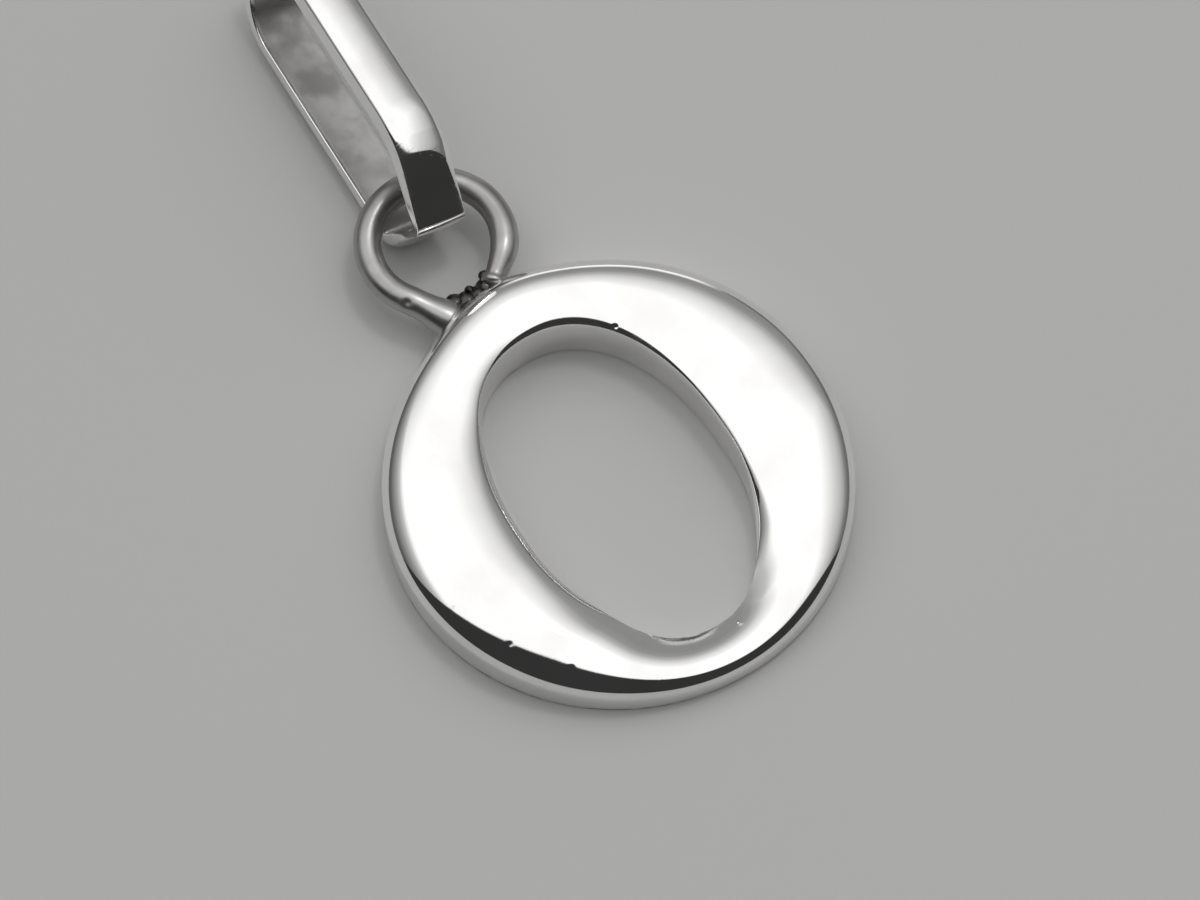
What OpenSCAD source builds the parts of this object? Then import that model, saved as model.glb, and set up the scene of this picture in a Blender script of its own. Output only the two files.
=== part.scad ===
// Small letter O charm lying on its flat back, with a jump ring soldered to its head
// and a strip bail hooked loosely through that ring.
// Millimetres. +Y runs from the letter to the bail, +Z rises from the flat back,
// and the origin is on the resting surface, under the middle of the whole charm.

/* [Letter] */
// Width of the letter across its middle
letter_w = 12; // [11:0.1:18]
// Length of the letter from its foot to its head
letter_l = 12.2; // [12:0.1:20]
// How far the head swells past a plain oval
head_swell = 0.22; // [0:0.01:0.3]
// Fullness of the head's shoulders, where 2 is a true oval
head_full = 1.98; // [1.8:0.01:2.4]
// Fullness of the foot's shoulders
foot_full = 2.02; // [1.8:0.01:2.4]
// How far the head and the foot sit to the right of the letter's middle
ends_right = 0.18; // [0:0.02:0.3]
// Height of the front at the middle of the band
crown_h = 1.8; // [1.5:0.05:3]
// Share of its height that the letter loses at its foot
foot_thin = 0.52; // [0:0.02:0.56]
// Height of the outer wall, where the front starts to round over
outer_wall = 1; // [0.5:0.02:1.3]

/* [Counter] */
// Width of the oval opening
counter_w = 5.88; // [4.5:0.02:6.4]
// Length of the oval opening
counter_l = 9.1; // [6:0.05:9.4]
// Fullness of the opening, where 2 is a true oval
counter_full = 2.2; // [1.8:0.05:3]
// How far the opening sits towards the foot
counter_low = 0.25; // [0:0.01:0.3]
// Height of the wall inside the opening
inner_wall = 1.5; // [0.6:0.02:1.5]
// Share of that wall's height lost where the opening's lip is most rounded
lip_low = 0.42; // [0:0.02:0.46]
// How far the rounded lip stands further into the opening
lip_inset = 0.2; // [0:0.02:0.3]
// Direction of the rounded lip, anticlockwise from the letter's right
lip_side = 240; // [210:5:260]
// Slope of the front where it falls evenly to the lip, near the foot
fall_slope = 31; // [28:0.5:34]
// Direction of that even fall, anticlockwise from the letter's right
fall_side = 262; // [245:1:280]
// Place of the crown across the band at the foot, as a share of the band's width from outside
foot_crown = 0.36; // [0.34:0.01:0.5]

/* [Jump ring] */
// Diameter of the ring through the middle of its wire
ring_d = 3.52; // [3.4:0.02:5]
// Diameter of the ring's wire
ring_wire = 0.74; // [0.5:0.02:0.9]
// How far the middle of the wire is let into the letter's head
ring_sink = 0; // [0:0.02:0.2]
// Sideways place of the ring from the letter's axis
ring_side = -0.33; // [-0.6:0.01:0.6]
// Height of the middle of the wire above the surface
ring_h = 1.2; // [1.15:0.05:1.6]
// Diameter of each bead of solder at the joint
solder_d = 0.62; // [0.4:0.02:0.9]

/* [Bail] */
// Width of the bail's strip
bail_w = 1.43; // [1:0.01:1.5]
// Thickness of the front strip along its edges
front_edge = 0.42; // [0.2:0.02:0.5]
// Thickness of the back strip along its edges
back_edge = 0.22; // [0.1:0.02:0.28]
// Rise of the strip's dome above its edges
bail_dome = 0.26; // [0.1:0.02:0.32]
// How much the strip's dome flattens at the tip, from 0 for none to 1 for all
tip_flat = 0.9; // [0:0.05:1]
// Length inside the bail from its tip to its top
bail_l = 8.34; // [7.5:0.02:12]
// Clear depth inside the bail
bail_gap = 2.73; // [2.65:0.01:4]
// Distance from the tip to where the front strip turns down
front_turn = 1.84; // [1.7:0.02:2.5]
// Distance from the tip to where the back strip turns up
back_turn = 0.82; // [0.8:0.02:1]
// Height of the tip above the back strip
tip_rise = 1.46; // [1.4:0.02:1.8]
// Radius inside the tip
tip_r = 0.06; // [0.04:0.01:0.2]
// Radius inside the front strip's turn
front_r = 2.5; // [0.5:0.1:2.6]
// Radius inside the back strip's turn
back_r = 0.3; // [0.1:0.05:0.5]

/* [Lie] */
// Lean of the bail to its right
bail_lean = 16; // [6:0.5:17]
// Turn of the bail away from the letter's axis
bail_turn = 2.5; // [0:0.05:6]
// Distance from the ring's middle to the bail's tip, towards the letter
tip_near = -0.02; // [-0.1:0.02:0.1]
// Distance from the ring's middle to the bail's tip, sideways
tip_side = 0.16; // [0:0.02:0.3]

/* [Hidden] */
$fn = 64;
around = 96; // spokes round the letter
rim_steps = 9; // steps from each wall over to the middle of the front
fall_bend = 0.55; // roundness of the even fall's crown, as a share of its length
bend_steps = 8; // steps round each bend of the bail
dome_steps = 10; // steps over the strip's domed outside
tip_run = 1.5; // length over which the front strip's edges thin towards the tip
tip_edge = 0.4; // share of the front strip's extra edge that is left at the tip

// The letter

function spow(v, p) = sign(v) * pow(abs(v), p);

// Outline of the letter at angle a: an oval whose head swells a little towards the ring,
// and whose ends sit a little to the right.
function outer_at(a) = let (p = 2 / (a < 180 ? head_full : foot_full)) [
    letter_w / 2 * spow(cos(a), p) + ends_right * pow(sin(a), 2),
    (letter_l - head_swell) / 2 * spow(sin(a), p) + head_swell * pow(max(sin(a), 0), 20)
];

// Outline of the opening at angle a: an oval with slightly fuller shoulders, set towards the foot.
function counter_at(a) = [
    counter_w / 2 * spow(cos(a), 2 / counter_full),
    counter_l / 2 * spow(sin(a), 2 / counter_full) - counter_low
];

// Share of the full height at angle a: all of it round the head, falling smoothly to the foot.
function height_at(a) = 1 - foot_thin * pow(max(-sin(a), 0), 2.5);

// Share of the lip's rounding at angle a: all of it towards lip_side, none on the far side.
function lip_share(a) = ease((cos(a - lip_side) + 0.4) / 0.66);

// Share of the even fall at angle a: all of it towards fall_side.
function fall_share(a) = ease((cos(a - fall_side) - 0.25) / 0.5);

// Place of the crown across the band at angle a, as a share of its width from outside.
function crown_at(a) = 0.5 + (foot_crown - 0.5) * ease((-sin(a) - 0.62) / 0.33);

// One side of the puffed front as [distance in from its wall, height]: a quarter of an ellipse
// from the wall's top to the crown, over the distance half.
function puff(half, wall) = [for (i = [0:rim_steps]) let (t = 90 * i / rim_steps)
    [half * (1 - cos(t)), wall + (crown_h - wall) * sin(t)]];

// The even fall in the same form: half a hyperbola that rounds over the crown and reaches
// its full slope at the wall, or less where the wall would get too low for it. The heights are
// later shrunk by the share thin.
function even_fall(half, wall, thin) = let (k = fall_bend,
    d = min(tan(fall_slope) * k * sqrt(k * k + 1) * half / thin, (crown_h - wall) / (sqrt(1 + 1 / (k * k)) - 1)))
    [for (i = [0:rim_steps]) let (s = cos(90 * i / rim_steps))
        [half * (1 - s), crown_h - d * (sqrt(1 + pow(s / k, 2)) - 1)]];

// Section of a band of width w at angle a as [distance in, height], from the outer foot over
// the front to the foot inside the opening. The two sides meet level at the crown.
function section(w, inner, a) = let (
    out = w * crown_at(a), e = fall_share(a),
    round_side = puff(w - out, inner), even_side = even_fall(w - out, inner, height_at(a))) [
    [0, 0],
    each puff(out, outer_wall),
    for (i = [rim_steps - 1:-1:0]) let (p = round_side[i] * (1 - e) + even_side[i] * e) [w - p[0], p[1]],
    [w, 0]
];

// The section's points in space.
function spoke(a) = let (
    o = outer_at(a), c = counter_at(a), in = (c - o) / norm(c - o),
    w = norm(c - o) + lip_inset * lip_share(a),
    inner = inner_wall * (1 - lip_low * lip_share(a)))
    [for (p = section(w, inner, a)) [o[0] + in[0] * p[0], o[1] + in[1] * p[0], p[1] * height_at(a)]];

// Triangles of a closed sweep of n rings, each of m points.
function sweep_faces(n, m) = [for (i = [0:n - 1]) for (j = [0:m - 1])
    let (p = i * m, q = (i + 1) % n * m, k = (j + 1) % m)
    each [[p + j, q + k, q + j], [p + j, p + k, q + k]]];

module sweep(rings)
    polyhedron([for (r = rings) each r], sweep_faces(len(rings), len(rings[0])), convexity = 6);

module letter_band() color("gainsboro") sweep([for (i = [0:around - 1]) spoke(360 * i / around)]);

// The ring and its joint

head_y = (letter_l + head_swell) / 2;
foot_y = (head_swell - letter_l) / 2;
ring_y = head_y - ring_sink + ring_d / 2;

module jump_ring() color("silver") translate([ring_side, ring_y, ring_h])
    rotate_extrude() translate([ring_d / 2, 0]) circle(d = ring_wire);

// Beads of solder where the wire meets the letter's head.
module solder() color("silver") for (a = [-22, 4, 28])
    translate([ring_side + ring_d / 2 * sin(a), ring_y - ring_d / 2 * cos(a), ring_h - ring_wire / 4])
        sphere(d = solder_d);

module letter_o() {
    letter_band();
    jump_ring();
    solder();
}

// The bail

function unit(v) = v / norm(v);

// Points round the corner b of an outline, between its neighbours a and c, with radius r.
// Each is [along, up, outward along, outward up].
function bend(a, b, c, r, steps) = let (
    to_a = unit(a - b), to_c = unit(c - b), half = acos(to_a * to_c) / 2,
    centre = b + unit(to_a + to_c) * r / sin(half), start = atan2(to_a[0], -to_a[1]))
    [for (i = [0:steps]) let (t = start + (180 - 2 * half) * i / steps)
        [centre[0] + r * cos(t), centre[1] + r * sin(t), cos(t), sin(t)]];

// Inside of the bail seen from its side, from the tip along the back strip,
// round the top and down the front strip.
tip = [0, tip_rise];
back_corner = [back_turn, 0];
front_corner = [front_turn, bail_gap];
top_middle = [bail_l - bail_gap / 2, bail_gap / 2];
inside = [
    each bend(front_corner, tip, back_corner, tip_r, bend_steps),
    each bend(tip, back_corner, [bail_l, 0], back_r, bend_steps),
    for (i = [0:2 * bend_steps]) let (t = 90 * i / bend_steps - 90)
        [top_middle[0] + bail_gap / 2 * cos(t), top_middle[1] + bail_gap / 2 * sin(t), cos(t), sin(t)],
    each bend([bail_l, bail_gap], front_corner, tip, front_r, bend_steps)
];

function ease(t) = let (c = max(0, min(1, t))) c * c * (3 - 2 * c);

// Share of the front strip's edge at a point of the outline: 0 along the back strip, 1 along the
// front strip, and easing from one to the other round the top and towards the tip.
function front_share(q) = q[0] > front_turn ? ease(q[1] / bail_gap)
    : ease((q[3] + 1) / 2) * (tip_edge + (1 - tip_edge) * min(1, q[0] / tip_run));

// Section of the strip as [side, thickness]: flat inside, upright edges and a domed outside.
// The dome flattens near the tip.
function strip(q) = let (
    edge = back_edge + (front_edge - back_edge) * front_share(q),
    dome = bail_dome * (1 - tip_flat * max(0, 1 - q[0] / (q[3] > 0 ? front_turn : back_turn)))) [
    [-bail_w / 2, 0],
    for (i = [0:dome_steps]) let (t = 180 * i / dome_steps)
        [-bail_w / 2 * cos(t), edge + dome * sin(t)],
    [bail_w / 2, 0]
];

// A point [along, side, up] of the bail as it lies: leaned to its right, then turned on the surface.
function lie(p) = let (
    side = p[1] * cos(bail_lean) + p[2] * sin(bail_lean),
    up = p[2] * cos(bail_lean) - p[1] * sin(bail_lean))
    [side * cos(bail_turn) + p[0] * sin(bail_turn), p[0] * cos(bail_turn) - side * sin(bail_turn), up];

bail_rings = [for (q = inside) [for (s = strip(q)) lie([q[0] + q[2] * s[1], s[0], q[1] + q[3] * s[1]])]];
bail_low = min([for (r = bail_rings) for (p = r) p[2]]);
tip_at = lie([-back_edge, 0, tip_rise]);
bail_move = [ring_side + tip_side - tip_at[0], ring_y - tip_near - tip_at[1], -bail_low];

module bail() color("silver") translate(bail_move) sweep(bail_rings);

// Middle of the whole charm, from the letter's foot to the bail's top.
bail_far = max([for (r = bail_rings) for (p = r) p[1]]) + bail_move[1];
middle = [0, (bail_far + foot_y) / 2, 0];

translate(-middle) letter_o();
translate(-middle) bail();
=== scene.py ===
import bpy
import numpy as np
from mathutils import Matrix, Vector


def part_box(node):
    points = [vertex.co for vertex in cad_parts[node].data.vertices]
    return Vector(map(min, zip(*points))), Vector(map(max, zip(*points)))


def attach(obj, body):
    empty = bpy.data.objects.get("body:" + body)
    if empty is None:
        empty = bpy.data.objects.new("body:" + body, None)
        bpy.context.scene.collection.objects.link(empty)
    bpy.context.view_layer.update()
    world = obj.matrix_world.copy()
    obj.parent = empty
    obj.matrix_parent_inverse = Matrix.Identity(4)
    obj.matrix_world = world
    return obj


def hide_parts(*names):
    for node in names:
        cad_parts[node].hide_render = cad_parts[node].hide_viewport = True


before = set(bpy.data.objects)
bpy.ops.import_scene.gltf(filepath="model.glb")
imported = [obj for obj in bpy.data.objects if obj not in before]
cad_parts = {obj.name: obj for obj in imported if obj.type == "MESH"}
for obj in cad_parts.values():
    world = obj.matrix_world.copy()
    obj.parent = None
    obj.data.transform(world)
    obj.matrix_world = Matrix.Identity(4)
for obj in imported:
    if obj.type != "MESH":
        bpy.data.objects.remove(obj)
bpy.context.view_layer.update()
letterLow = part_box("letter_o")[0]
bailLow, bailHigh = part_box("bail")
print("frame loaded")

mm = 0.001


# Shared mesh and surface helpers

def putSurface(name, points, closedRows=True):
    # Points are a grid of places, rows by columns, and the last column joins the first. Face (i, j)
    # joins (i, j), (i + 1, j), (i + 1, j + 1) and (i, j + 1). The last row joins the first too, or,
    # where rows are open, the first and the last row are each closed by one face.
    rows, columns = points.shape[:2]
    i, j = np.meshgrid(np.arange(rows - (not closedRows)), np.arange(columns), indexing="ij")
    nextI, nextJ = (i + 1) % rows, (j + 1) % columns
    corners = [i * columns + j, nextI * columns + j, nextI * columns + nextJ, i * columns + nextJ]
    quads = np.stack(corners, -1).reshape(-1, 4)
    firstRow, lastRow = np.arange(columns), np.arange((rows - 1) * columns, rows * columns)
    ends = [] if closedRows else [firstRow, lastRow[::-1]]
    flat = points.reshape(-1, 3)
    a, b, c, d = (flat[quads[:, k]] for k in range(4))
    volume = np.einsum("ij,ij->", a, np.cross(b, c)) + np.einsum("ij,ij->", a, np.cross(c, d))
    if volume < 0:  # faces point outwards when the enclosed volume is positive
        quads, ends = quads[:, ::-1], [end[::-1] for end in ends]
    mesh = bpy.data.meshes.new(name)
    mesh.from_pydata(flat, [], quads.tolist() + [end.tolist() for end in ends])
    mesh.update()
    mesh.polygons.foreach_set("use_smooth", np.ones(len(mesh.polygons), bool))
    piece = bpy.data.objects.new(name, mesh)
    bpy.context.scene.collection.objects.link(piece)
    return piece


def putAttribute(piece, name, values):
    # One number for each point, for the materials to read.
    layer = piece.data.attributes.new(name, "FLOAT", "POINT")
    layer.data.foreach_set("value", np.ascontiguousarray(values, np.float32).reshape(-1))


def waveField(places, waves, shortest, longest, seed):
    # A sum of level plane waves with random headings, lengths and phases, evened out to a spread of
    # about one by the square root of 2 over their number.
    chance = np.random.default_rng(seed)
    heading = chance.uniform(0, 2 * np.pi, waves)
    length = chance.uniform(shortest, longest, waves)
    phase = chance.uniform(0, 2 * np.pi, waves)
    x, y = places[..., 0, None], places[..., 1, None]
    travel = (x * np.cos(heading) + y * np.sin(heading)) * 2 * np.pi / length + phase
    return np.sin(travel).sum(-1) * np.sqrt(2 / waves)


def unit(v):
    return v / np.linalg.norm(v)


def signedPower(value, power):
    # The value's size raised to the power, with the value's own sign.
    return np.sign(value) * np.abs(value) ** power


def easeInOut(value):
    # Three times the square less twice the cube of the value, which is held between 0 and 1.
    held = np.clip(value, 0, 1)
    return held * held * (3 - 2 * held)


def easeBetween(value, reach):
    # From 0 at the first end of the reach to 1 at the second.
    low, full = reach
    return easeInOut((value - low) / (full - low))


def bell(awaySquared, spread):
    # 1 at the middle, falling as e to minus the squared distance over twice the squared spread.
    return np.exp(-awaySquared / (2 * spread ** 2))


def fade(away, reach):
    # 1 at no distance, falling as e to minus the square of distance over reach.
    return np.exp(-(away / reach) ** 2)


def slowWaves(outline, waves):
    # The outline with only its slowest waves kept, which rounds off a fuller oval's tight spots.
    spectrum = np.fft.rfft(outline, axis=0)
    spectrum[waves:] = 0
    return np.fft.irfft(spectrum, len(outline), axis=0)


# The letter

letterShape = dict(
    width=12.0 * mm, length=12.2 * mm, headFull=1.98, footFull=2.02, endsRight=0.18 * mm,
    headSwell=0.22 * mm, headPower=20, outlineWaves=26,
    crown=1.8 * mm, outerWall=1.0 * mm, innerWall=1.5 * mm, footThin=0.52, footPower=2.5,
    counterWidth=5.88 * mm, counterLength=9.1 * mm, counterFull=2.2, counterLow=0.25 * mm,
    lipLow=0.42, lipInset=0.2 * mm, lipTowards=np.radians(240), lipReach=(-0.4, 0.26),
    fallBend=0.55, fallEnd=np.radians(31),
    straightTowards=np.radians(262), straightReach=(0.25, 0.75),
    sideCrown=0.5, footCrown=0.36, crownReach=(0.62, 0.95),
    footRound=0.05 * mm, wornReach=0.16 * mm,
    spokes=800, footSteps=4, wallSteps=6, puffSteps=40, backSteps=8,
    rippleDepth=0.0011 * mm, ripples=dict(waves=14, shortest=1.1 * mm, longest=3.2 * mm, seed=5),
    # Small marks on the front, in mm: place from the letter's middle, depth, where a rise is
    # negative, and spread.
    marks=((2.12, 3.3, 0.02, 0.04), (0.5, -4.93, -0.015, 0.04), (-5.4, -0.89, -0.01, 0.05),
           (-4.83, -2.56, 0.007, 0.05), (-3.79, -3.78, -0.008, 0.05), (-4.4, -1.4, 0.004, 0.3),
           (-3.5, -1.9, -0.003, 0.3), (-4.9, -0.7, 0.003, 0.25)),
)
letterMiddle = Vector((0, letterLow.y + (letterShape["length"] - letterShape["headSwell"]) / 2, 0))


def letterOutline(shape, angle):
    # An oval of fullness n: half width times cosine to the power 2 / n, half length times sine to
    # the power 2 / n, plus a swell at the head that grows as sine to headPower, and ends moved
    # right as sine squared.
    power = 2 / np.where(np.sin(angle) >= 0, shape["headFull"], shape["footFull"])
    x = shape["width"] / 2 * signedPower(np.cos(angle), power)
    y = (shape["length"] - shape["headSwell"]) / 2 * signedPower(np.sin(angle), power)
    x = x + shape["endsRight"] * np.sin(angle) ** 2
    swell = shape["headSwell"] * np.maximum(np.sin(angle), 0) ** shape["headPower"]
    return np.column_stack([x, y + swell])


def counterOutline(shape, angle):
    # The opening: an oval of its own fullness, set towards the foot.
    power = 2 / shape["counterFull"]
    x = shape["counterWidth"] / 2 * signedPower(np.cos(angle), power)
    y = shape["counterLength"] / 2 * signedPower(np.sin(angle), power) - shape["counterLow"]
    return np.column_stack([x, y])


def bandSection(shape, width, innerWall, crownShare, straight, thinner):
    # For every spoke, distance in from the outer wall and height: round the foot, up the wall, over
    # the puffed front as two quarter ellipses that meet level at the crown, down the opening's wall
    # and back underneath. Where straight is 1, the inner ellipse gives way to half a hyperbola,
    # which rounds over the crown and then falls evenly to the opening, where its slope is fallEnd,
    # or less where the wall would get too low for it. Thinner is the share of its height that each
    # spoke keeps afterwards. Front is 1 on the puffed front, and worn is 1 at the sharp corners.
    small, outerWall, crown = shape["footRound"], shape["outerWall"], shape["crown"]
    w, wall = width[:, None], innerWall[:, None]
    crownAt, even = w * crownShare[:, None], straight[:, None]
    turn = np.linspace(0, np.pi / 2, shape["puffSteps"] + 1)[None, :]
    foot = np.linspace(0, np.pi / 2, shape["footSteps"] + 1)[None, :-1]
    rise = np.linspace(0, 1, shape["wallSteps"] + 1)[None, 1:-1]
    under = np.linspace(0, 1, shape["backSteps"] + 2)[None, :-1]
    one = np.ones_like(w)
    inward = np.concatenate([
        one * (small - small * np.sin(foot)), one * 0 * rise,
        crownAt * (1 - np.cos(turn)), crownAt + (w - crownAt) * np.sin(turn[:, 1:]),
        w + 0 * rise, w - small + small * np.cos(foot), w - small - (w - 2 * small) * under,
    ], 1)
    bend = shape["fallBend"]
    stretch = np.hypot(1, 1 / bend)
    fall = np.tan(shape["fallEnd"]) * bend ** 2 * stretch * (w - crownAt) / thinner[:, None]
    fall = np.minimum(fall, (crown - wall) / (stretch - 1))
    evenFront = crown - fall * (np.hypot(1, np.sin(turn[:, 1:]) / bend) - 1)
    roundFront = wall + (crown - wall) * np.cos(turn[:, 1:])
    lip = wall + (evenFront[:, -1:] - wall) * even
    height = np.concatenate([
        one * (small - small * np.cos(foot)), one * (small + (outerWall - small) * rise),
        one * (outerWall + (crown - outerWall) * np.sin(turn)),
        (1 - even) * roundFront + even * evenFront,
        lip - (lip - small) * rise, one * (small - small * np.sin(foot)), one * 0 * under,
    ], 1)
    front = np.zeros(height.shape)
    frontStart = shape["footSteps"] + shape["wallSteps"] - 1
    front[:, frontStart:frontStart + 2 * shape["puffSteps"] + 1] = 1
    # Nearness to the three sharp corners: both feet and the opening's lip.
    nearestFoot = np.minimum(np.hypot(inward, height), np.hypot(w - inward, height))
    away = np.minimum(nearestFoot, np.hypot(w - inward, lip - height))
    return inward, height, front, fade(away, shape["wornReach"])


def buildLetter(shape):
    # Spokes run from the letter's outline to the opening's, and each carries a section of its own.
    angle = np.linspace(0, 2 * np.pi, shape["spokes"], endpoint=False)
    outer = slowWaves(letterOutline(shape, angle), shape["outlineWaves"])
    inner = slowWaves(counterOutline(shape, angle), shape["outlineWaves"])
    thinner = 1 - shape["footThin"] * np.maximum(-np.sin(angle), 0) ** shape["footPower"]
    # The lip is rounder on the side towards lipTowards: its wall is lower there and stands further
    # into the opening.
    rounder = easeBetween(np.cos(angle - shape["lipTowards"]), shape["lipReach"])
    towards = (inner - outer) / np.linalg.norm(inner - outer, axis=1)[:, None]
    inner = inner + towards * (shape["lipInset"] * rounder)[:, None]
    width = np.linalg.norm(inner - outer, axis=1)
    nearFoot = easeBetween(-np.sin(angle), shape["crownReach"])
    straight = easeBetween(np.cos(angle - shape["straightTowards"]), shape["straightReach"])
    innerWall = shape["innerWall"] * (1 - shape["lipLow"] * rounder)
    crownShare = shape["sideCrown"] + (shape["footCrown"] - shape["sideCrown"]) * nearFoot
    inward, height, front, worn = bandSection(
        shape, width, innerWall, crownShare, straight, thinner)
    points = np.empty(inward.shape + (3,))
    points[..., :2] = outer[:, None] + towards[:, None] * inward[..., None]
    points[..., 2] = height * thinner[:, None]
    # The front's slow ripples and small marks: each mark is a round dip, depth times a bell curve.
    change = shape["rippleDepth"] * waveField(points, **shape["ripples"])
    for x, y, depth, spread in shape["marks"]:
        away = (points[..., 0] - x * mm) ** 2 + (points[..., 1] - y * mm) ** 2
        change -= depth * mm * bell(away, spread * mm)
    points[..., 2] += np.minimum(change * front, shape["crown"] - points[..., 2])
    piece = putSurface("letterBand", points + np.array(letterMiddle))
    putAttribute(piece, "worn", worn)
    return piece


# The jump ring and its joint

ringShape = dict(
    diameter=3.52 * mm, wire=0.74 * mm, side=-0.33 * mm, height=1.2 * mm,
    # The ends are places from the letter's middle.
    rightBend=np.radians(58), rightEnd=(0.34 * mm, 6.27 * mm, 1.12 * mm),
    leftBend=np.radians(-57), leftEnd=(-1.15 * mm, 5.98 * mm, 0.98 * mm),
    rightThin=0.1 * mm, rightRun=1.1 * mm, endFlare=0.06 * mm, flareRun=0.1 * mm,
    leftSwell=0.12 * mm, leftRun=0.9 * mm, capRound=0.13 * mm, capShare=0.999,
    # Two small waves of the wire's radius: their depth together and their turn in each mm.
    waviness=0.006 * mm, waveTurns=(2.3, 5.1),
    circleSteps=400, legSteps=60, alongStep=0.035 * mm, wireSteps=64, capSteps=5,
    # The nick's place is in mm from the letter's middle.
    nick=dict(place=(-1.91, 6.83, 1.45), depth=0.07 * mm, spread=0.065 * mm),
)
headEnd = letterMiddle.y + (letterShape["length"] + letterShape["headSwell"]) / 2
ringMiddle = Vector((ringShape["side"], headEnd + ringShape["diameter"] / 2, ringShape["height"]))


def ringPath(shape):
    # From the right end to the right bend, round the far side to the left bend on a circle, and
    # then into the letter's wall. Turn is measured at the ring's middle from the letter, positive
    # to the right.
    radius = shape["diameter"] / 2
    turn = np.linspace(shape["rightBend"], shape["leftBend"] + 2 * np.pi, shape["circleSteps"])
    circle = np.column_stack([radius * np.sin(turn), -radius * np.cos(turn), 0 * turn])
    circle = circle + np.array(ringMiddle)
    # Each leg leaves the circle along its own heading and eases into the straight line to its end:
    # the reach times s squared times (2 - s), plus the heading times s times (1 - s) squared.
    share = np.linspace(0, 1, shape["legSteps"])[1:, None]
    legs = []
    for start, before, end in ((circle[-1], circle[-2], shape["leftEnd"]),
                               (circle[0], circle[1], shape["rightEnd"])):
        reach = np.array(end) + np.array(letterMiddle) - start
        leg = start + reach * share ** 2 * (2 - share)
        legs.append(leg + unit(start - before) * np.linalg.norm(reach) * share * (1 - share) ** 2)
    path = np.vstack([legs[1][::-1], circle, legs[0]])
    travelled = np.concatenate([[0], np.cumsum(np.linalg.norm(np.diff(path, axis=0), axis=1))])
    even = np.arange(0, travelled[-1], shape["alongStep"])
    return np.column_stack([np.interp(even, travelled, path[:, k]) for k in range(3)]), even


def buildRing(shape):
    # A wire of round section carried along the path. It thins towards its right end, flares at that
    # end's rim and swells towards its left end.
    path, along = ringPath(shape)
    heading = np.gradient(path, axis=0)
    heading /= np.linalg.norm(heading, axis=1, keepdims=True)
    upwards = np.array([0, 0, 1]) - heading * heading[:, 2:3]
    upwards /= np.linalg.norm(upwards, axis=1, keepdims=True)
    outwards = np.cross(upwards, heading)
    roll = np.linspace(0, 2 * np.pi, shape["wireSteps"], endpoint=False)
    across, over = np.cos(roll)[None, :, None], np.sin(roll)[None, :, None]
    ring = across * outwards[:, None] + over * upwards[:, None]
    slow, quick = shape["waveTurns"]
    waves = np.sin(along / mm * slow) + np.sin(along / mm * quick + 1)
    radius = shape["wire"] / 2 + shape["waviness"] * waves / 2
    radius = radius - shape["rightThin"] * easeInOut(1 - along / shape["rightRun"])
    radius = radius + shape["endFlare"] * fade(along, shape["flareRun"])
    radius = radius + shape["leftSwell"] * easeInOut(1 - (along[-1] - along) / shape["leftRun"])
    # Each end closes over a quarter turn of the cap's rounding and runs flat almost to its middle.
    small, steps = shape["capRound"], shape["capSteps"]
    quarter = np.linspace(0, np.pi / 2, steps + 1)[1:]
    rounding = small - small * np.cos(quarter)
    insets = [np.concatenate([rounding, np.linspace(small, end * shape["capShare"], steps + 1)[1:]])
              for end in radius[[0, -1]]]
    push = np.concatenate([small * np.sin(quarter), np.full(steps, small)])
    first = path[0] - heading[0] * push[:, None]
    last = path[-1] + heading[-1] * push[:, None]
    middles = np.vstack([first[::-1], path, last])
    sizes = np.concatenate([(radius[0] - insets[0])[::-1], radius, radius[-1] - insets[1]])
    firstRings, lastRings = (np.repeat(end, len(push), 0) for end in (ring[:1], ring[-1:]))
    frames = np.concatenate([firstRings, ring, lastRings])
    points = middles[:, None] + frames * sizes[:, None, None]
    # A nick: points near its place sink towards the wire's middle by its depth times a bell curve.
    nick = shape["nick"]
    place = np.array(nick["place"]) * mm + np.array(letterMiddle)
    away = ((points - place) ** 2).sum(-1)
    points -= frames * (nick["depth"] * bell(away, nick["spread"]))[..., None]
    return putSurface("jumpRing", points, closedRows=False)


solderShape = dict(
    # Lumps of solder between the wire's ends and the head, in mm: place from the letter's middle
    # and radius.
    lumps=((-0.8, 6.32, 0.87, 0.31), (-0.5, 6.22, 0.84, 0.32), (-0.18, 6.21, 0.84, 0.31),
           (0.12, 6.27, 0.88, 0.31), (0.36, 6.45, 0.95, 0.25), (0.24, 6.58, 1.0, 0.15),
           (-0.3, 6.44, 1.0, 0.13)),
    rows=56, columns=72, poleGap=0.02,
    # The waves are measured on a ball of radius 1, laid flat with this slant of its height.
    roughness=0.03, waves=dict(waves=8, shortest=0.9, longest=2.6), slant=(2, -1.4), seed=11,
)


def buildSolder(shape):
    # Each lump is a sphere whose radius swells and shrinks with waves over its surface.
    polarSteps = np.linspace(shape["poleGap"], np.pi - shape["poleGap"], shape["rows"])
    turnSteps = np.linspace(0, 2 * np.pi, shape["columns"], endpoint=False)
    polar, turn = np.meshgrid(polarSteps, turnSteps, indexing="ij")
    x, y, z = np.sin(polar) * np.cos(turn), np.sin(polar) * np.sin(turn), np.cos(polar)
    ball = np.stack([x, y, z], -1)
    slantX, slantY = shape["slant"]
    flat = np.stack([x + slantX * z, y + slantY * z], -1)
    pieces = []
    for count, (*place, radius) in enumerate(shape["lumps"]):
        waves = waveField(flat, **shape["waves"], seed=shape["seed"] + count)
        lump = ball * (radius * mm * (1 + shape["roughness"] * waves))[..., None]
        points = lump + np.array(place) * mm + np.array(letterMiddle)
        pieces.append(putSurface("solderLump%d" % (count + 1), points, closedRows=False))
    return pieces


# The bail

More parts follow.
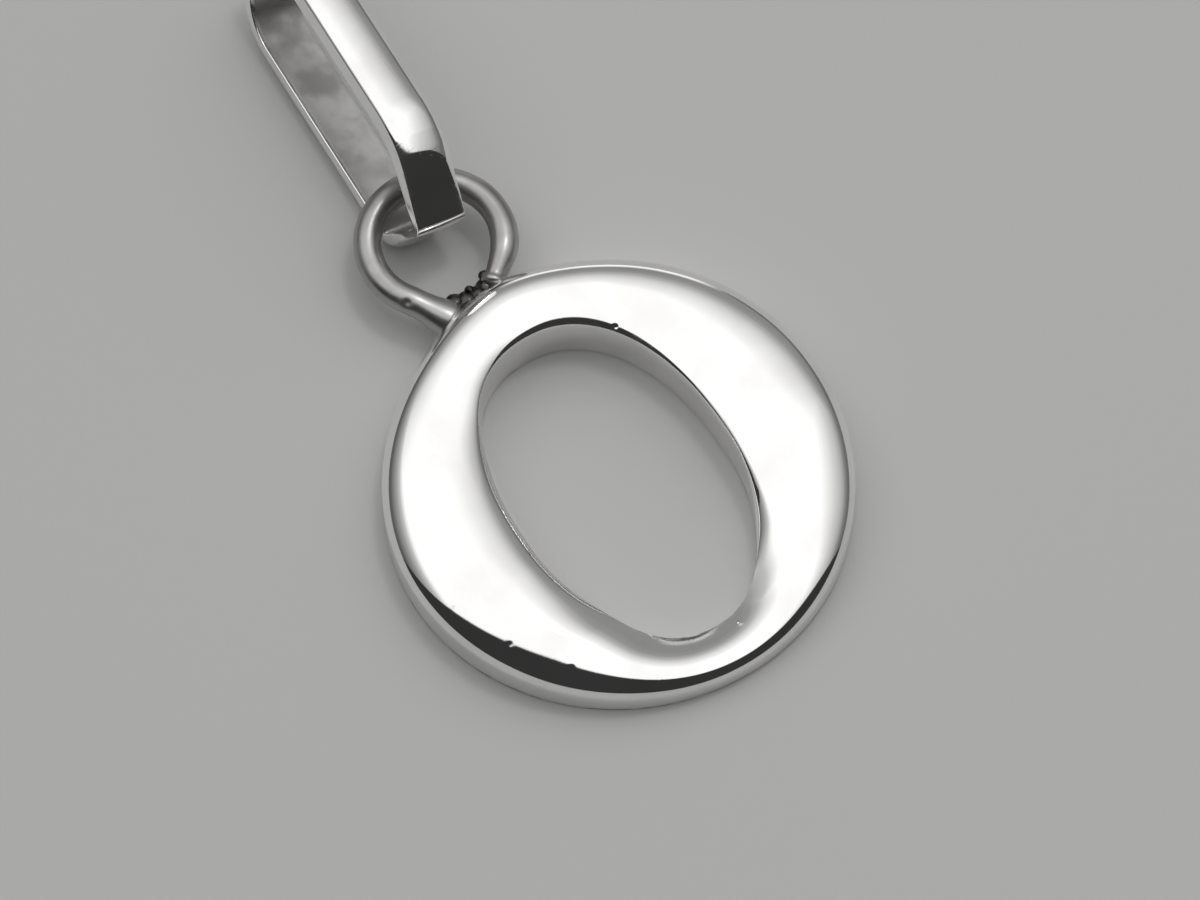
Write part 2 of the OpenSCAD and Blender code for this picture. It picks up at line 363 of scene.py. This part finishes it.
bailShape = dict(
    width=1.43 * mm, frontEdge=0.42 * mm, backEdge=0.22 * mm, dome=0.26 * mm, tipFlat=0.9,
    length=8.34 * mm, gap=2.73 * mm, frontTurn=1.84 * mm, backTurn=0.82 * mm, tipRise=1.46 * mm,
    tipRound=0.06 * mm, frontRound=2.5 * mm, backRound=0.3 * mm, tipRun=1.5 * mm, tipEdge=0.4,
    lean=np.radians(16), turn=np.radians(2.5), corner=0.04 * mm, wornReach=0.09 * mm,
    bendSteps=40, straightStep=0.09 * mm, leastRun=0.0018 * mm,
    faceSteps=12, cornerSteps=4, edgeSteps=5, domeSteps=36,
)


def cornerArc(before, corner, after, radius, steps):
    # Arc that rounds off a corner: its middle lies on the line that halves the corner, at radius
    # over the sine of half the corner. Each row is along, up, outward along, outward up.
    toBefore, toAfter = unit(before - corner), unit(after - corner)
    half = np.arccos(toBefore @ toAfter) / 2
    middle = corner + unit(toBefore + toAfter) * radius / np.sin(half)
    start = np.arctan2(toBefore[0], -toBefore[1])
    turn = np.linspace(start, start + np.pi - 2 * half, steps + 1)
    along, up = np.cos(turn), np.sin(turn)
    return np.column_stack([middle[0] + radius * along, middle[1] + radius * up, along, up])


def joinArcs(arcs, step, leastRun):
    # The arcs in turn, each followed by evenly spaced points on the straight run to the next one.
    path = []
    for arc, following in zip(arcs, arcs[1:] + arcs[:1]):
        gap = np.linalg.norm(following[0, :2] - arc[-1, :2])
        share = np.linspace(0, 1, int(gap / step) + 2)[1:-1, None]
        straight = arc[-1] + (following[0] - arc[-1]) * share
        path += [arc, straight] if gap > leastRun else [arc[:-1]]
    return np.vstack(path)


def bailPath(shape):
    # Inside of the bail seen from its side: the tip, back along the rear strip, round the top and
    # down the front strip.
    tip = np.array([0, shape["tipRise"]])
    backCorner = np.array([shape["backTurn"], 0])
    frontCorner = np.array([shape["frontTurn"], shape["gap"]])
    farLow, farHigh = np.array([shape["length"], 0]), np.array([shape["length"], shape["gap"]])
    steps, half = shape["bendSteps"], shape["gap"] / 2
    turn = np.linspace(-np.pi / 2, np.pi / 2, 2 * steps + 1)
    along, up = np.cos(turn), np.sin(turn)
    top = np.column_stack([shape["length"] - half + half * along, half + half * up, along, up])
    return joinArcs([
        cornerArc(frontCorner, tip, backCorner, shape["tipRound"], steps // 2),
        cornerArc(tip, backCorner, farLow, shape["backRound"], steps // 2),
        top,
        cornerArc(farHigh, frontCorner, tip, shape["frontRound"], steps),
    ], shape["straightStep"], shape["leastRun"])


def buildBail(shape):
    # A strip section carried along the path: flat inside, upright edges, and a domed outside that
    # is half an ellipse. The front strip's edges are taller, and the dome flattens towards the tip.
    path = bailPath(shape)
    along, up, outAlong, outUp = path.T
    tipShare = shape["tipEdge"] + (1 - shape["tipEdge"]) * np.minimum(1, along / shape["tipRun"])
    share = np.where(along > shape["frontTurn"], easeInOut(up / shape["gap"]),
                     easeInOut((outUp + 1) / 2) * tipShare)
    edge = (shape["backEdge"] + (shape["frontEdge"] - shape["backEdge"]) * share)[:, None]
    turnAt = np.where(outUp > 0, shape["frontTurn"], shape["backTurn"])
    dome = (shape["dome"] * (1 - shape["tipFlat"] * np.maximum(0, 1 - along / turnAt)))[:, None]
    half, small = shape["width"] / 2, shape["corner"]
    face = np.linspace(1, -1, shape["faceSteps"] + 1)[None, :-1] * (half - small)
    rounding = np.linspace(0, np.pi / 2, shape["cornerSteps"] + 1)[None, :-1]
    rise = np.linspace(0, 1, shape["edgeSteps"] + 1)[None, :-1]
    turn = np.linspace(0, np.pi, shape["domeSteps"] + 1)[None, :-1]
    one = np.ones_like(edge)
    side = one * np.concatenate([
        face, -half + small - small * np.sin(rounding), 0 * rise - half, -half * np.cos(turn),
        0 * rise + half, half - small + small * np.cos(rounding)], 1)
    thick = np.concatenate([
        one * 0 * face, one * (small - small * np.cos(rounding)), small + (edge - small) * rise,
        edge + dome * np.sin(turn), edge - (edge - small) * rise,
        one * (small - small * np.sin(rounding))], 1)
    a = along[:, None] + outAlong[:, None] * thick
    u = up[:, None] + outUp[:, None] * thick
    # Leaned to its right about its length, then turned a little on the surface.
    leaned = side * np.cos(shape["lean"]) + u * np.sin(shape["lean"])
    raised = u * np.cos(shape["lean"]) - side * np.sin(shape["lean"])
    points = np.stack([
        leaned * np.cos(shape["turn"]) + a * np.sin(shape["turn"]),
        a * np.cos(shape["turn"]) - leaned * np.sin(shape["turn"]), raised], -1)
    low, high = points.min((0, 1)), points.max((0, 1))
    shift = (np.array(bailLow) + np.array(bailHigh)) / 2 - (low + high) / 2
    shift[2] = -low[2]
    piece = putSurface("bailStrip", points + shift)
    # The inner face is marked for its satin roughness and for the darker tones that paint the shade
    # between the strips.
    satinAndShade = np.zeros(side.shape)
    satinAndShade[:, :shape["faceSteps"]] = 1
    putAttribute(piece, "satinAndShade", satinAndShade)
    # Nearness to the strip's four long corners.
    away = np.hypot(np.abs(side) - half, np.minimum(np.abs(thick), np.abs(thick - edge)))
    putAttribute(piece, "worn", fade(away, shape["wornReach"]))
    return piece


letterBand = buildLetter(letterShape)
jumpRing = buildRing(ringShape)
solderLumps = buildSolder(solderShape)
bailStrip = buildBail(bailShape)
print("pieces built")


# Material effects shared by the finishes: each is a node group that reads the piece's coordinates

def startGroup(name, inputs, outputs):
    group = bpy.data.node_groups.new(name, "ShaderNodeTree")
    for socket, kind, value in inputs:
        made = group.interface.new_socket(socket, in_out="INPUT", socket_type=kind)
        if value is not None:
            made.default_value = value
    for socket, kind in outputs:
        group.interface.new_socket(socket, in_out="OUTPUT", socket_type=kind)
    return group, group.nodes.new("NodeGroupInput"), group.nodes.new("NodeGroupOutput")


def feed(tree, socket, source):
    # The source is a number or another socket.
    if isinstance(source, (int, float)):
        socket.default_value = source
    else:
        tree.links.new(source, socket)


def putMapRange(tree, value, low, high, toLow, toHigh, kind="SMOOTHSTEP"):
    ramp = tree.nodes.new("ShaderNodeMapRange")
    ramp.interpolation_type = kind
    feed(tree, ramp.inputs["Value"], value)
    names = ("From Min", "From Max", "To Min", "To Max")
    for name, source in zip(names, (low, high, toLow, toHigh)):
        feed(tree, ramp.inputs[name], source)
    return ramp.outputs["Result"]


def putNoise(tree, coordinates, scale, detail, stretch=(1, 1, 1)):
    mapping, noise = tree.nodes.new("ShaderNodeMapping"), tree.nodes.new("ShaderNodeTexNoise")
    mapping.inputs["Scale"].default_value = stretch
    tree.links.new(coordinates, mapping.inputs["Vector"])
    tree.links.new(mapping.outputs[0], noise.inputs["Vector"])
    feed(tree, noise.inputs["Scale"], scale)
    noise.inputs["Detail"].default_value = detail
    return noise.outputs["Fac"]


def putMath(tree, operation, first, second):
    node = tree.nodes.new("ShaderNodeMath")
    node.operation = operation
    feed(tree, node.inputs[0], first)
    feed(tree, node.inputs[1], second)
    return node.outputs[0]


def putMix(tree, share, first, second):
    # The colour mix keeps its colour sockets at places 6 and 7 and its colour result at place 2.
    mix = tree.nodes.new("ShaderNodeMix")
    mix.data_type = "RGBA"
    for place, source in ((0, share), (6, first), (7, second)):
        tree.links.new(source, mix.inputs[place])
    return mix.outputs[2]


# Span is the part of a noise's values over which its mask goes from none to full.
patterns = dict(
    scratches=dict(stretches=((9, 0.35, 1), (0.5, 7, 1)), detail=3, span=(0.62, 0.72)),
    haze=dict(slowDetail=2, slowShare=0.7, fineDetail=4, fineShare=0.3, finer=7.0,
              span=(0.4, 0.64)),
    tarnish=dict(detail=5, span=(0.42, 0.68)),
    wear=dict(detail=4, span=(0.38, 0.66)),
    relief=dict(detail=4),
)


def makeFineScratches(pattern):
    # Hairlines from two noises stretched along crossing directions: only narrow crests are kept.
    group, start, end = startGroup("fineScratches", (
        ("Coordinates", "NodeSocketVector", None),
        ("Scale", "NodeSocketFloat", 4.0),
        ("Strength", "NodeSocketFloat", 1.0),
    ), (("Height", "NodeSocketFloat"),))
    place, scale, strength = (start.outputs[name] for name in ("Coordinates", "Scale", "Strength"))
    crests = [putMapRange(group, putNoise(group, place, scale, pattern["detail"], stretch),
                          *pattern["span"], 0.0, 1.0) for stretch in pattern["stretches"]]
    hair = putMath(group, "ADD", *crests)
    group.links.new(putMath(group, "MULTIPLY", hair, strength), end.inputs["Height"])
    return group


def makeSoftHaze(pattern):
    # Cloudy patches where the polish is a little duller: a slow noise broken up by a finer one.
    group, start, end = startGroup("softHaze", (
        ("Coordinates", "NodeSocketVector", None),
        ("Scale", "NodeSocketFloat", 0.5),
        ("Clear", "NodeSocketFloat", 0.03),
        ("Dull", "NodeSocketFloat", 0.08),
    ), (("Roughness", "NodeSocketFloat"),))
    place, scale = start.outputs["Coordinates"], start.outputs["Scale"]
    slow = putNoise(group, place, scale, pattern["slowDetail"])
    finer = putMath(group, "MULTIPLY", scale, pattern["finer"])
    fine = putNoise(group, place, finer, pattern["fineDetail"])
    mixed = putMath(group, "ADD", putMath(group, "MULTIPLY", slow, pattern["slowShare"]),
                    putMath(group, "MULTIPLY", fine, pattern["fineShare"]))
    roughness = putMapRange(
        group, mixed, *pattern["span"], start.outputs["Clear"], start.outputs["Dull"])
    group.links.new(roughness, end.inputs["Roughness"])
    return group


def makeTarnish(pattern):
    # Two tones of the metal, mixed by a mask that a noise breaks up.
    group, start, end = startGroup("tarnish", (
        ("Coordinates", "NodeSocketVector", None),
        ("Scale", "NodeSocketFloat", 1.0),
        ("Amount", "NodeSocketFloat", 0.2),
        ("Clean", "NodeSocketColor", (0.96, 0.955, 0.94, 1)),
        ("Stained", "NodeSocketColor", (0.8, 0.78, 0.74, 1)),
    ), (("Color", "NodeSocketColor"),))
    noise = putNoise(group, start.outputs["Coordinates"], start.outputs["Scale"], pattern["detail"])
    patches = putMapRange(group, noise, *pattern["span"], 0.0, 1.0)
    mask = putMath(group, "MULTIPLY", patches, start.outputs["Amount"])
    colour = putMix(group, mask, start.outputs["Clean"], start.outputs["Stained"])
    group.links.new(colour, end.inputs["Color"])
    return group


def makeEdgeWear(pattern):
    # Rubbed patches: nearness to an edge, broken up by a noise.
    group, start, end = startGroup("edgeWear", (
        ("Coordinates", "NodeSocketVector", None),
        ("Scale", "NodeSocketFloat", 2.0),
        ("Edge", "NodeSocketFloat", 0.0),
        ("Amount", "NodeSocketFloat", 0.5),
    ), (("Mask", "NodeSocketFloat"),))
    noise = putNoise(group, start.outputs["Coordinates"], start.outputs["Scale"], pattern["detail"])
    broken = putMapRange(group, noise, *pattern["span"], 0.0, start.outputs["Amount"])
    group.links.new(putMath(group, "MULTIPLY", broken, start.outputs["Edge"]), end.inputs["Mask"])
    return group


effects = dict(
    scratches=makeFineScratches(patterns["scratches"]), haze=makeSoftHaze(patterns["haze"]),
    tarnish=makeTarnish(patterns["tarnish"]), wear=makeEdgeWear(patterns["wear"]),
)


# Finishes: scales are in waves of noise to the mm, and relief is in mm

finishes = dict(
    letterSilver=dict(
        clean=(0.97, 0.965, 0.955, 1), stained=(0.83, 0.822, 0.81, 1), amount=0.45, stainScale=0.5,
        clear=0.02, dull=0.05, hazeScale=0.45, scratchScale=2.2, scratch=0.25, relief=0.0006,
        bumpScale=0.0, wearScale=2.6, wear=0.8, wornRoughness=0.3),
    # The ring's tones are a darker copy of the letter's silver and paint the dim shade and
    # reflections on the wire. The patches between its two tones differ at random.
    ringSilverPaintedShade=dict(
        clean=(0.46, 0.457, 0.45, 1), stained=(0.34, 0.333, 0.32, 1), amount=0.8, stainScale=0.6,
        clear=0.3, dull=0.4, hazeScale=0.8, scratchScale=4.0, scratch=0.25, relief=0.0012,
        bumpScale=1.2, wearScale=2.0, wear=0.5, wornRoughness=0.5),
    bailSilver=dict(
        clean=(0.95, 0.945, 0.93, 1), stained=(0.8, 0.785, 0.75, 1), amount=0.35, stainScale=0.7,
        clear=0.04, dull=0.1, hazeScale=0.8, scratchScale=3.0, scratch=0.4, relief=0.0012,
        bumpScale=0.9, wearScale=2.4, wear=0.8, wornRoughness=0.35,
        # The strip's inner face is satin, with its own duller haze, and its own darker tones paint
        # the shade that falls between the two strips.
        satinShadeClean=(0.58, 0.575, 0.565, 1), satinShadeStained=(0.4, 0.393, 0.382, 1),
        satinStainScale=0.6, satinClear=0.36, satinDull=0.5, satinHazeScale=1.2),
    # The solder's near-black tones paint the shade and dark reflections in the joint, and its
    # lighter patches paint small glints.
    solderSilverPaintedShade=dict(
        clean=(0.09, 0.088, 0.085, 1), stained=(0.014, 0.013, 0.012, 1), amount=1.0, stainScale=3.5,
        clear=0.2, dull=0.42, hazeScale=2.0, scratchScale=6.0, scratch=0.3, relief=0.003,
        bumpScale=1.6, wearScale=2.0, wear=0.5, wornRoughness=0.6),
)


def putGroup(tree, effect, **values):
    node = tree.nodes.new("ShaderNodeGroup")
    node.node_tree = effects[effect]
    for socket, source in values.items():
        if isinstance(source, bpy.types.NodeSocket):
            tree.links.new(source, node.inputs[socket])
        else:
            node.inputs[socket].default_value = source
    return node.outputs[0]


def readAttribute(tree, name):
    node = tree.nodes.new("ShaderNodeAttribute")
    node.attribute_name = name
    return node.outputs["Fac"]


def makeSilver(name, look):
    material = bpy.data.materials.new(name)
    material.use_nodes = True
    tree = material.node_tree
    shader = tree.nodes["Principled BSDF"]
    shader.inputs["Metallic"].default_value = 1
    place, millimetres = tree.nodes.new("ShaderNodeTexCoord"), tree.nodes.new("ShaderNodeMapping")
    millimetres.inputs["Scale"].default_value = (1 / mm,) * 3
    tree.links.new(place.outputs["Object"], millimetres.inputs["Vector"])
    coordinates = millimetres.outputs[0]
    colour = putGroup(tree, "tarnish", Coordinates=coordinates, Scale=look["stainScale"],
                      Amount=look["amount"], Clean=look["clean"], Stained=look["stained"])
    roughness = putGroup(tree, "haze", Coordinates=coordinates, Scale=look["hazeScale"],
                         Clear=look["clear"], Dull=look["dull"])
    # On the bail's inner face the roughness turns satin, and the colour turns to darker tones that
    # paint the shade between the strips.
    if "satinShadeClean" in look:
        satinAndShade = readAttribute(tree, "satinAndShade")
        duller = putGroup(tree, "haze", Coordinates=coordinates, Scale=look["satinHazeScale"],
                          Clear=look["satinClear"], Dull=look["satinDull"])
        roughness = putMapRange(tree, satinAndShade, 0.0, 1.0, roughness, duller, "LINEAR")
        paintedShadeTone = putGroup(tree, "tarnish", Coordinates=coordinates, Scale=look["satinStainScale"],
                          Amount=1.0, Clean=look["satinShadeClean"], Stained=look["satinShadeStained"])
        colour = putMix(tree, satinAndShade, colour, paintedShadeTone)
    wear = putGroup(tree, "wear", Coordinates=coordinates, Scale=look["wearScale"],
                    Edge=readAttribute(tree, "worn"), Amount=look["wear"])
    roughness = putMapRange(tree, wear, 0.0, 1.0, roughness, look["wornRoughness"], "LINEAR")
    tree.links.new(colour, shader.inputs["Base Color"])
    tree.links.new(roughness, shader.inputs["Roughness"])
    scratches = putGroup(tree, "scratches", Coordinates=coordinates, Scale=look["scratchScale"],
                         Strength=look["scratch"])
    height = putMath(tree, "SUBTRACT", scratches, wear)
    if look["bumpScale"]:
        swell = putNoise(tree, coordinates, look["bumpScale"], patterns["relief"]["detail"])
        height = putMath(tree, "ADD", height, swell)
    bump = tree.nodes.new("ShaderNodeBump")
    bump.inputs["Strength"].default_value = 1
    bump.inputs["Distance"].default_value = look["relief"] * mm
    tree.links.new(height, bump.inputs["Height"])
    tree.links.new(bump.outputs["Normal"], shader.inputs["Normal"])
    return material


silver = {name: makeSilver(name, look) for name, look in finishes.items()}
dressed = [
    (letterBand, "letterSilver", "letter_o", "letter_silver"),
    (jumpRing, "ringSilverPaintedShade", "letter_o", "letter_silver"),
    (bailStrip, "bailSilver", "bail", "bail_silver"),
]
dressed += [(lump, "solderSilverPaintedShade", "letter_o", "letter_silver") for lump in solderLumps]
for piece, finish, node, slot in dressed:
    piece.data.materials.append(silver[finish])
    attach(piece, "root")
    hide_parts(node)
print("materials set")


# Floor, light and camera

floorLook = dict(reach=1.6, drop=2e-6, colour=(0.6, 0.6, 0.595, 1), roughness=0.7)
# The light dome's brightness against how far a direction leans to the right and to the back, as a
# share of its height, up to the reach. A direction takes the lower of its two values: one large
# soft light overhead with a straight edge towards the camera. The horizon adds a low strip of
# light behind, which grows with how far a direction points back and fades with its height.
domeLook = dict(
    strength=1.06, reach=6.0, lowest=0.02,
    sideways=((-6.0, 0.1), (-5.0, 0.12), (-2.9, 0.2), (-1.9, 0.31), (-1.4, 0.5), (-1.05, 1.0),
              (0.5, 1.0), (0.75, 0.8), (1.11, 0.6), (1.48, 0.5), (2.05, 0.38), (3.1, 0.23),
              (5.7, 0.14)),
    backwards=((-0.47, 0.03), (-0.41, 1.0), (0.5, 1.0), (0.7, 0.84), (1.11, 0.62), (1.48, 0.42),
               (2.05, 0.28), (3.1, 0.24), (6.0, 0.24)),
    horizon=dict(back=(0.93, 0.975), height=(0.2, 0.08), strength=0.75),
)
keyLook = dict(elevation=72, bearing=50, distance=0.27, size=0.05, power=0.06)


def putFloor(look):
    mesh = bpy.data.meshes.new("floor")
    reach = look["reach"]
    corners = ((-reach, -reach), (reach, -reach), (reach, reach), (-reach, reach))
    mesh.from_pydata([(x, y, -look["drop"]) for x, y in corners], [], [(0, 1, 2, 3)])
    floor = bpy.data.objects.new("floor", mesh)
    bpy.context.scene.collection.objects.link(floor)
    material = bpy.data.materials.new("paleFloor")
    material.use_nodes = True
    shader = material.node_tree.nodes["Principled BSDF"]
    shader.inputs["Base Color"].default_value = look["colour"]
    shader.inputs["Roughness"].default_value = look["roughness"]
    mesh.materials.append(material)


def putRamp(tree, value, stops, reach):
    # A ramp over values from minus the reach to the reach.
    ramp = tree.nodes.new("ShaderNodeValToRGB")
    tree.links.new(putMapRange(tree, value, -reach, reach, 0.0, 1.0, "LINEAR"), ramp.inputs["Fac"])
    points = ramp.color_ramp.elements
    placed = [((place + reach) / (2 * reach), (level,) * 3 + (1,)) for place, level in stops]
    points[0].position, points[0].color = placed[0]
    points[1].position, points[1].color = placed[-1]
    for position, colour in placed[1:-1]:
        points.new(position).color = colour
    return ramp.outputs["Color"]


def makeDome(look, azimuth):
    world = bpy.data.worlds.new("studioDome")
    bpy.context.scene.world = world
    world.use_nodes = True
    tree = world.node_tree
    place, turn = tree.nodes.new("ShaderNodeTexCoord"), tree.nodes.new("ShaderNodeMapping")
    split = tree.nodes.new("ShaderNodeSeparateXYZ")
    turn.inputs["Rotation"].default_value = (0, 0, -azimuth)
    tree.links.new(place.outputs["Generated"], turn.inputs["Vector"])
    tree.links.new(turn.outputs[0], split.inputs[0])
    sideways, backwards, height = split.outputs
    raised = putMath(tree, "MAXIMUM", height, look["lowest"])
    across, along = (
        putRamp(tree, putMath(tree, "DIVIDE", lean, raised), stops, look["reach"])
        for lean, stops in ((sideways, look["sideways"]), (backwards, look["backwards"])))
    glow = putMath(tree, "MULTIPLY", putMath(tree, "MINIMUM", across, along), look["strength"])
    band = look["horizon"]
    behind = putMapRange(tree, backwards, *band["back"], 0.0, 1.0)
    low = putMapRange(tree, height, *band["height"], 0.0, band["strength"])
    strip = putMath(tree, "MULTIPLY", behind, low)
    background = tree.nodes["Background"]
    tree.links.new(putMath(tree, "ADD", glow, strip), background.inputs["Strength"])
    background.inputs["Color"].default_value = (1, 1, 1, 1)


def raiseDirection(level, elevation):
    # The level direction times the elevation's cosine, plus straight up times its sine.
    return level * np.cos(elevation) + Vector((0, 0, np.sin(elevation)))


def putKey(look, right, back):
    # A small round lamp above, at a bearing from the picture's right towards its back.
    lamp = bpy.data.lights.new("key", "AREA")
    lamp.shape, lamp.size, lamp.energy = "DISK", look["size"], look["power"]
    lampObject = bpy.data.objects.new("key", lamp)
    bearing = np.radians(look["bearing"])
    level = right * np.cos(bearing) + back * np.sin(bearing)
    direction = raiseDirection(level, np.radians(look["elevation"]))
    lampObject.location = direction * look["distance"]
    lampObject.rotation_euler = (-direction).to_track_quat("-Z", "Y").to_euler()
    bpy.context.scene.collection.objects.link(lampObject)


def putCamera(look, direction):
    camera = bpy.data.cameras.new("camera")
    camera.lens, camera.sensor_width = look["lens"], look["sensor"]
    camera.clip_start = look["clipStart"]
    cameraObject = bpy.data.objects.new("camera", camera)
    cameraObject.location = letterMiddle + Vector((*look["aim"], 0)) + direction * look["distance"]
    cameraObject.rotation_euler = (-direction).to_track_quat("-Z", "Y").to_euler()
    bpy.context.scene.collection.objects.link(cameraObject)
    bpy.context.scene.camera = cameraObject


view = dict(azimuth=np.radians(-33), elevation=np.radians(66), distance=185 * mm, lens=217.6,
            aim=(0.3155 * mm, 1.2418 * mm), sensor=36, clipStart=0.01)
right = Vector((np.cos(view["azimuth"]), np.sin(view["azimuth"]), 0))
back = Vector((-np.sin(view["azimuth"]), np.cos(view["azimuth"]), 0))

putFloor(floorLook)
makeDome(domeLook, view["azimuth"])
putKey(keyLook, right, back)
bpy.context.scene.view_settings.view_transform = "Standard"
putCamera(view, raiseDirection(-back, view["elevation"]))
print("studio set")
